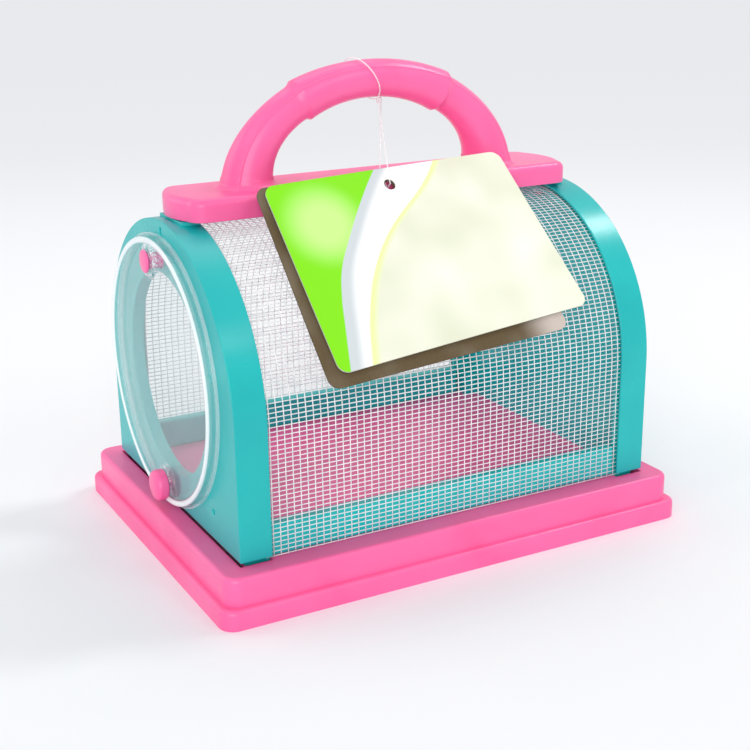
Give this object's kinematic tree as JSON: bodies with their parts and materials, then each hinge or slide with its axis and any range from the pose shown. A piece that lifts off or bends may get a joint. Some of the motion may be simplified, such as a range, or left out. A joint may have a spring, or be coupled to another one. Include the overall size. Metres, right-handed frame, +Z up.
{
  "type": "insect rearing cage",
  "caption": "Netted barrel-vault insect cage on a stepped tray, with a carry handle, a round clear swing door at one end and a hang tag.",
  "frame": {"origin": "middle of the tray's underside, on the surface that the cage stands on", "axes": "+Z up, +X along the vault to the closed end, the door end faces -X and the hang tag is on the -Y side"},
  "size_m": [0.17, 0.1288, 0.1567],
  "materials": {
    "pink_plastic": "moulded, slightly glossy pink",
    "teal_plastic": "moulded, glossy teal",
    "clear_plastic": "clear, moulded",
    "white_net": "fine open white netting",
    "screw_steel": "bright zinc",
    "printed_card": "coated, printed in plain colour areas",
    "grey_card": "uncoated, grey brown",
    "clear_filament": "thin clear filament"
  },
  "bodies": {
    "cage": {"base_tray": "pink_plastic", "door_end_frame": "teal_plastic", "closed_end_frame": "teal_plastic", "front_side_rail": "teal_plastic", "back_side_rail": "teal_plastic", "carry_handle": "pink_plastic", "door_pivot_pin": "pink_plastic", "pivot_collar": "pink_plastic", "net_front_side": "white_net", "net_vault_1": "white_net", "net_vault_2": "white_net", "net_vault_3": "white_net", "net_vault_4": "white_net", "net_vault_5": "white_net", "net_back_side": "white_net", "tray_screw_door_end_front": "screw_steel", "tray_screw_door_end_back": "screw_steel", "tray_screw_closed_end_front": "screw_steel", "tray_screw_closed_end_back": "screw_steel", "handle_screw_door_end": "screw_steel", "handle_screw_closed_end": "screw_steel"},
    "door": {"door_window": "clear_plastic", "door_knob": "pink_plastic"},
    "tag": {"tag_front_leaf": "printed_card", "tag_rear_leaf": "grey_card", "tag_loop": "clear_filament"}
  },
  "joints": [
    {"name": "door_swing", "type": "hinge", "parent": "cage", "child": "door", "pos_m": [-0.0776, 0, 0.0983], "axis": [1, 0, 0], "continuous": true},
    {"name": "tag_swing", "type": "hinge", "parent": "cage", "child": "tag", "pos_m": [0, 0, 0.1496], "axis": [-1, 0, 0], "range_deg": [0, 100]}
  ]
}
